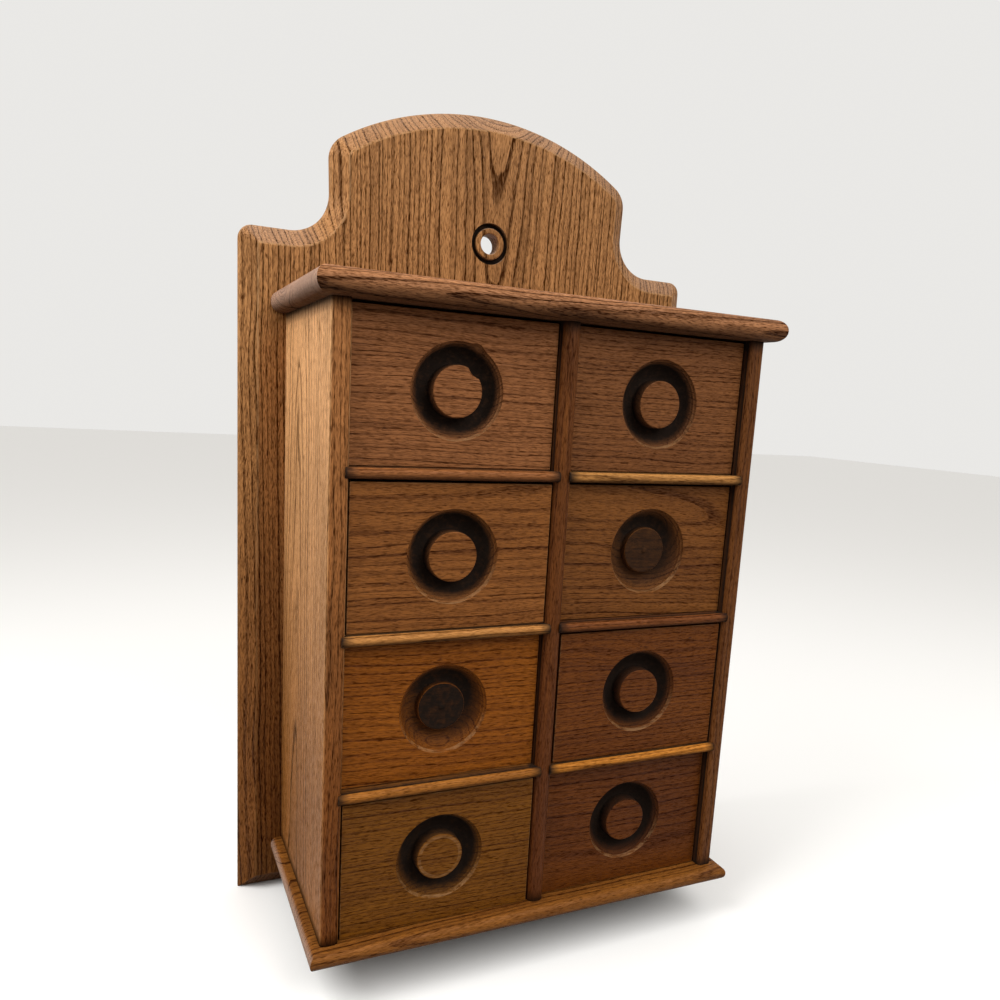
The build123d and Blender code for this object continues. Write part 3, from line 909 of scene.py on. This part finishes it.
def rabbeted_block(low, high, inner, lap):
    """Board rabbeted at both ends, from lap to its back and as far in as inner."""
    other = low.x + high.x - inner
    plan = [
        (low.x, low.y), (low.x, lap), (inner, lap), (inner, high.y), (other, high.y), (other, lap),
        (high.x, lap), (high.x, low.y),
    ]
    work = new_work()
    base = work.faces.new([work.verts.new((x, y, low.z)) for x, y in plan])
    grown = bmesh.ops.extrude_face_region(work, geom=[base])
    risen = [g for g in grown["geom"] if isinstance(g, bmesh.types.BMVert)]
    bmesh.ops.translate(work, vec=UP * (high.z - low.z), verts=risen)
    bmesh.ops.recalc_face_normals(work, faces=work.faces)
    return work


def drawer_front(node, drawer, sizes):
    """Front with its ring pull, rabbeted at both ends for the drawer sides."""
    low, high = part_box(node)
    side_low, side_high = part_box(f"{drawer}_left_side")
    work = rabbeted_block(low, high, side_high.x, side_low.y)
    outer = [e for e in work.edges if e.calc_face_angle() > SHARP]
    round_edges(work, outer, ARRIS, 3, wear_and_highlight=0.3)
    # Dirt and painted shade on the front's sides, which lie in the gaps round the drawer
    soil_and_shade(work, FRONT_SIDE_DIRT_AND_SHADE, lambda co: co.y > low.y + ARRIS - MARGIN)
    face = min(work.faces, key=lambda f: (round(f.calc_center_median().y, 6), -f.calc_area()))
    border = face.edges[:]
    bmesh.ops.delete(work, geom=[face], context="FACES_ONLY")
    centre = Vector(((low.x + high.x) / 2, low.y, (low.z + high.z) / 2))
    sunk = drawer in SUNK_PULLS
    profile, softness = pull_profile(sizes, sunk)
    hub, rim = turned(work, profile, centre, sizes.steps, softness)
    bmesh.ops.triangle_fill(work, edges=border + rim, use_beauty=True)
    bmesh.ops.holes_fill(work, edges=hub, sides=0)
    # Dirt and painted shade in the pull's hollow, darker with depth and on the upper and right
    # walls
    if sunk:
        soil_and_shade_hollow(work, centre, sizes.post, sizes.rim, sizes.depth, 1.5 * sizes.depth)
        dirty_disc(work, centre, sizes.post - MARGIN, SUNK_PULLS[drawer])
    else:
        soil_and_shade_hollow(work, centre, 0, sizes.rim, sizes.depth, 0.9 * sizes.depth)
        foot = sizes.post + 1.5 * MM
        soil_and_shade_hollow(work, centre, sizes.post - MARGIN, foot, sizes.depth, 1.5 * MM)
    # Wear and a painted highlight on the lower half of the rim
    rub_and_highlight_rim(work, centre, sizes.rim)
    if drawer == CHIPPED_PULL:
        break_edge(work, centre, sizes.post, DISC_CHIP)
        break_edge(work, centre, sizes.rim, RIM_CHIP)
    if drawer == PALE_DISC:
        rub_disc(work, centre, sizes.post)
    return work


def soil_and_shade_hollow(work, centre, inner, outer, depth, full):
    """Notes dirt and painted shade in a turned hollow between two radii: it darkens with depth
    until full, and sooner above the middle and on the right, as painted shade on the walls the
    light leaves dark."""
    layer = work.verts.layers.float["grime_and_shade"]
    for vert in work.verts:
        place = vert.co - centre
        radius = radius_of(place)
        if inner < radius < outer + MARGIN and 0 < place.y < depth + MARGIN:
            # Painted shade: the upper and right walls darken sooner
            sooner = 1 + 0.7 * max(0.0, place.z / radius) + 0.45 * max(0.0, place.x / radius)
            vert[layer] = min(1.0, place.y / full * sooner)


def dirty_disc(work, centre, radius, strength):
    """Notes the grime on a turned-down disc."""
    soil_and_shade(work, strength, lambda co: radius_of(co - centre) < radius and co.y > centre.y + MM)


def soil_and_shade_gap(work, front, nose, reach, edge=None):
    """Notes dirt and painted shade just behind a board's rounded front, in the gap beside a drawer:
    strongest at the end of the nose and gone after reach. With edge, only near the face where X is
    edge."""
    slice_at(work, BACKWARD * (front + reach), BACKWARD)
    soil_and_shade(work, 1.0, lambda co: nose - MARGIN < co.y - front < reach - MARGIN and (
        edge is None or abs(co.x - edge) < INNER_REACH))


def darken_ends(work, axis, low, high, reach):
    """Darkens both ends of a board, where it meets its neighbours; gone after reach."""
    for place in (low + reach, high - reach):
        slice_at(work, axis * place, axis)
    middle, half = (low + high) / 2, (high - low) / 2
    soil_and_shade(work, BOARD_END_DARKENING, lambda co: abs(co.dot(axis) - middle) > half - reach + MARGIN)


def shade_underside(work, low, high, strength):
    """Notes painted shade below a board's middle, strongest at its lower face."""
    layer = work.verts.layers.float["grime_and_shade"]
    for vert in work.verts:
        below = 1 - 2 * (vert.co.z - low.z) / (high.z - low.z)
        if below > 0:
            vert[layer] = max(vert[layer], strength * below)


def break_edge(work, centre, edge, chip):
    """Breaks a chip out of a turned edge at a radius: moves its points outward and in, most at
    the chip's angle and not at all beyond its spread."""
    for vert in work.verts:
        place = vert.co - centre
        radius = radius_of(place)
        away = (math.atan2(place.z, place.x) - chip.angle) / chip.spread
        reached = edge - chip.inside * MM < radius < edge + chip.outside * MM
        if reached and abs(away) < 1 and place.y < 2 * MM:
            share = 1 - away ** 2
            vert.co += Vector((place.x, 0, place.z)) * (chip.push * MM * share / radius)
            vert.co += BACKWARD * (chip.drop * MM) * share


def rub_and_highlight_rim(work, centre, rim):
    """Notes how fingers have rubbed the lower half of a pull's rim; the pale lower rim is also a
    painted highlight.
    """
    layer = work.faces.layers.float["wear_and_highlight"]
    for face in work.faces:
        place = face.calc_center_median() - centre
        if rim - 1.4 * MM < radius_of(place) < rim and place.z < 0:
            face[layer] = min(0.45, -0.6 * place.z / rim)


def rub_disc(work, centre, radius):
    """Notes a pull's disc that is rubbed pale."""
    layer = work.faces.layers.float["wear_and_highlight"]
    for face in work.faces:
        place = face.calc_center_median() - centre
        if radius_of(place) < radius and face.normal.y < -0.9:
            face[layer] = 0.35


class CABINET_OT_drawer_fronts(Maker, bpy.types.Operator):
    """Makes the eight drawer fronts with their ring pulls"""
    bl_idname = "cabinet.drawer_fronts"
    bl_label = "Drawer fronts"

    def make(self, scene):
        for drawer, cut in FRONT_CUTS.items():
            node = f"{drawer}_front"
            work = drawer_front(node, drawer, scene.cabinet_pull)
            oak_piece(work, node, drawer, cut)


class CABINET_OT_drawer_boxes(Maker, bpy.types.Operator):
    """Makes the sides, backs and bottoms of the drawers with sanded edges"""
    bl_idname = "cabinet.drawer_boxes"
    bl_label = "Drawer boxes"

    def make(self, scene):
        for drawer in DRAWERS:
            for part, cut in BOX_CUTS.items():
                node = f"{drawer}_{part}"
                work = sanded_copy(node, scene.cabinet_board.ease)
                oak_piece(work, node, drawer, cut, "wood")


def sanded_copy(node, width):
    """Copy of a flat-sided CAD node with its sharp edges sanded."""
    work = new_work()
    work.from_mesh(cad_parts[node].data)
    bmesh.ops.remove_doubles(work, verts=work.verts, dist=NEAR)
    bmesh.ops.dissolve_limit(
        work, angle_limit=math.radians(1), verts=work.verts, edges=work.edges, delimit=set())
    sharp = [e for e in work.edges if len(e.link_faces) == 2 and e.calc_face_angle() > SHARP]
    round_edges(work, sharp, width, 2, wear_and_highlight=0.35)
    return work


# Colour and roughness of the metals
NAIL_IRON = ((0.10, 0.085, 0.075), 0.55)
SCREW_STEEL = ((0.34, 0.31, 0.27), 0.38)
RUST = (0.12, 0.055, 0.03, 1)
RUST_CELLS = (700, 700, 700)  # cells in a metre


class CABINET_OT_fasteners(Maker, bpy.types.Operator):
    """Gives the nails and screws their steel"""
    bl_idname = "cabinet.fasteners"
    bl_label = "Nails and screws"

    def make(self, scene):
        metals = {
            "top_nails": NAIL_IRON, "bottom_nails": NAIL_IRON, "back_screws": SCREW_STEEL}
        for node, metal in metals.items():
            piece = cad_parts[node]
            piece.data.materials.clear()
            piece.data.materials.append(old_steel(f"steel_{node}", *metal))


def old_steel(name, shade, roughness):
    """Steel that has dulled and rusted a little in patches."""
    material, sums, shader = new_material(name)
    where = sums.add("ShaderNodeTexCoord").outputs["Object"]
    patches = sums.ease(sums.noise(where, RUST_CELLS, 4.0, 0.6)[0], 0.45, 0.65)
    sums.feed(shader["Base Color"], sums.mix(patches, (*shade, 1), RUST))
    sums.feed(shader["Metallic"], 0.85)
    sums.feed(shader["Roughness"], sums.scaled(patches, 0.3, roughness))
    return material


# Stage


# Place, target and width of each lamp, in metres
KEY_LAMP = ((-0.66, -0.12, 0.88), (0, 0, 0.34), 0.6)
FILL_LAMP = ((0.38, -0.85, 1.05), (0, 0, 0.3), 0.8)
FLOOR_REACH = 6.0
ROOM_COLOUR = (1, 0.985, 0.96, 1)

def seen_directly(sums):
    """1 where the camera looks, straight or in a reflection or through glass; 0 for other light."""
    rays = sums.add("ShaderNodeLightPath").outputs
    bent = sums.math("MAXIMUM", rays["Is Glossy Ray"], rays["Is Transmission Ray"])
    return sums.math("MAXIMUM", rays["Is Camera Ray"], bent)


def floor_material(settings):
    """Matt pale floor that throws little light back on the cabinet."""
    material, sums, shader = new_material("floor")
    colours = (*settings.bounce_colour, 1), (*settings.floor_colour, 1)
    sums.feed(shader["Base Color"], sums.mix(seen_directly(sums), *colours))
    sums.feed(shader["Roughness"], 0.9)
    sums.feed(shader["Specular IOR Level"], 0.1)
    return material


def lamp(name, place, target, size, power):
    """Soft square lamp that looks at a target."""
    light = bpy.data.lights.new(name, "AREA")
    light.size = size
    light.energy = power
    rig = new_object(name, light)
    rig.location = place
    rig.rotation_euler = (Vector(target) - Vector(place)).to_track_quat("-Z", "Y").to_euler()


class CABINET_OT_stage(Maker, bpy.types.Operator):
    """Makes the floor, the soft lamps, the backdrop and the camera"""
    bl_idname = "cabinet.stage"
    bl_label = "Stage"

    def make(self, scene):
        settings = scene.cabinet_stage
        scene.view_settings.view_transform = "Standard"
        work = bmesh.new()
        bmesh.ops.create_grid(work, x_segments=1, y_segments=1, size=FLOOR_REACH)
        mesh = bpy.data.meshes.new("floor")
        work.to_mesh(mesh)
        work.free()
        mesh.materials.append(floor_material(settings))
        floor = new_object("floor", mesh)
        lamp("key", *KEY_LAMP, settings.key_power)
        lamp("fill", *FILL_LAMP, settings.fill_power)
        self.room(scene, settings)
        self.camera(scene, settings)

    def room(self, scene, settings):
        """Soft light that grows towards the ceiling, and the pale tone seen behind the cabinet."""
        world = bpy.data.worlds.new("room")
        world.use_nodes = True
        scene.world = world
        sums = Sums(world.node_tree)
        where = sums.add("ShaderNodeTexCoord").outputs["Generated"]
        height = sums.math("MAXIMUM", sums.vector("DOT_PRODUCT", where, UP), 0.0)
        rise = settings.ceiling_strength - settings.room_strength
        plain = world.node_tree.nodes["Background"]
        plain.inputs["Color"].default_value = ROOM_COLOUR
        sums.feed(plain.inputs["Strength"], sums.scaled(height, rise, settings.room_strength))
        seen = sums.fed(
            sums.add("ShaderNodeBackground"), (*settings.backdrop_colour, 1), 1.0)
        choose = sums.fed(
            sums.add("ShaderNodeMixShader"), seen_directly(sums), plain.outputs[0], seen.outputs[0])
        sums.feed(world.node_tree.nodes["World Output"].inputs["Surface"], choose.outputs[0])

    def camera(self, scene, settings):
        lens = bpy.data.cameras.new("camera")
        lens.lens = settings.camera_lens
        lens.shift_x, lens.shift_y = settings.camera_shift
        lens.clip_start = 0.02
        camera = new_object("camera", lens)
        camera.location = settings.camera_place
        camera.rotation_euler = settings.camera_turn
        scene.camera = camera


OPERATORS = (
    CABINET_OT_stage, CABINET_OT_backboard, CABINET_OT_nosed_boards, CABINET_OT_uprights,
    CABINET_OT_shelves, CABINET_OT_drawer_fronts, CABINET_OT_drawer_boxes, CABINET_OT_fasteners,
)


class CABINET_PT_pieces(bpy.types.Panel):
    """Lists what makes the cabinet"""
    bl_idname = "CABINET_PT_pieces"
    bl_label = "Oak spice cabinet"
    bl_space_type = "VIEW_3D"
    bl_region_type = "UI"
    bl_category = "Cabinet"

    def draw(self, context):
        for operator in OPERATORS:
            self.layout.operator(operator.bl_idname)


SETTINGS = {
    "cabinet_stage": StageSettings, "cabinet_oak": OakSettings, "cabinet_board": BoardSettings,
    "cabinet_backboard": BackboardSettings, "cabinet_pull": PullSettings,
    "cabinet_fastener": FastenerSettings,
}


def register():
    for kind in (*SETTINGS.values(), *OPERATORS, CABINET_PT_pieces):
        bpy.utils.register_class(kind)
    for name, kind in SETTINGS.items():
        setattr(bpy.types.Scene, name, PointerProperty(type=kind))


def unregister():
    for name in SETTINGS:
        delattr(bpy.types.Scene, name)
    for kind in (CABINET_PT_pieces, *reversed(OPERATORS), *SETTINGS.values()):
        bpy.utils.unregister_class(kind)


def main():
    register()
    oak_group()
    for operator in OPERATORS:
        getattr(bpy.ops.cabinet, operator.bl_idname.split(".")[1])()


if __name__ == "__main__":
    main()
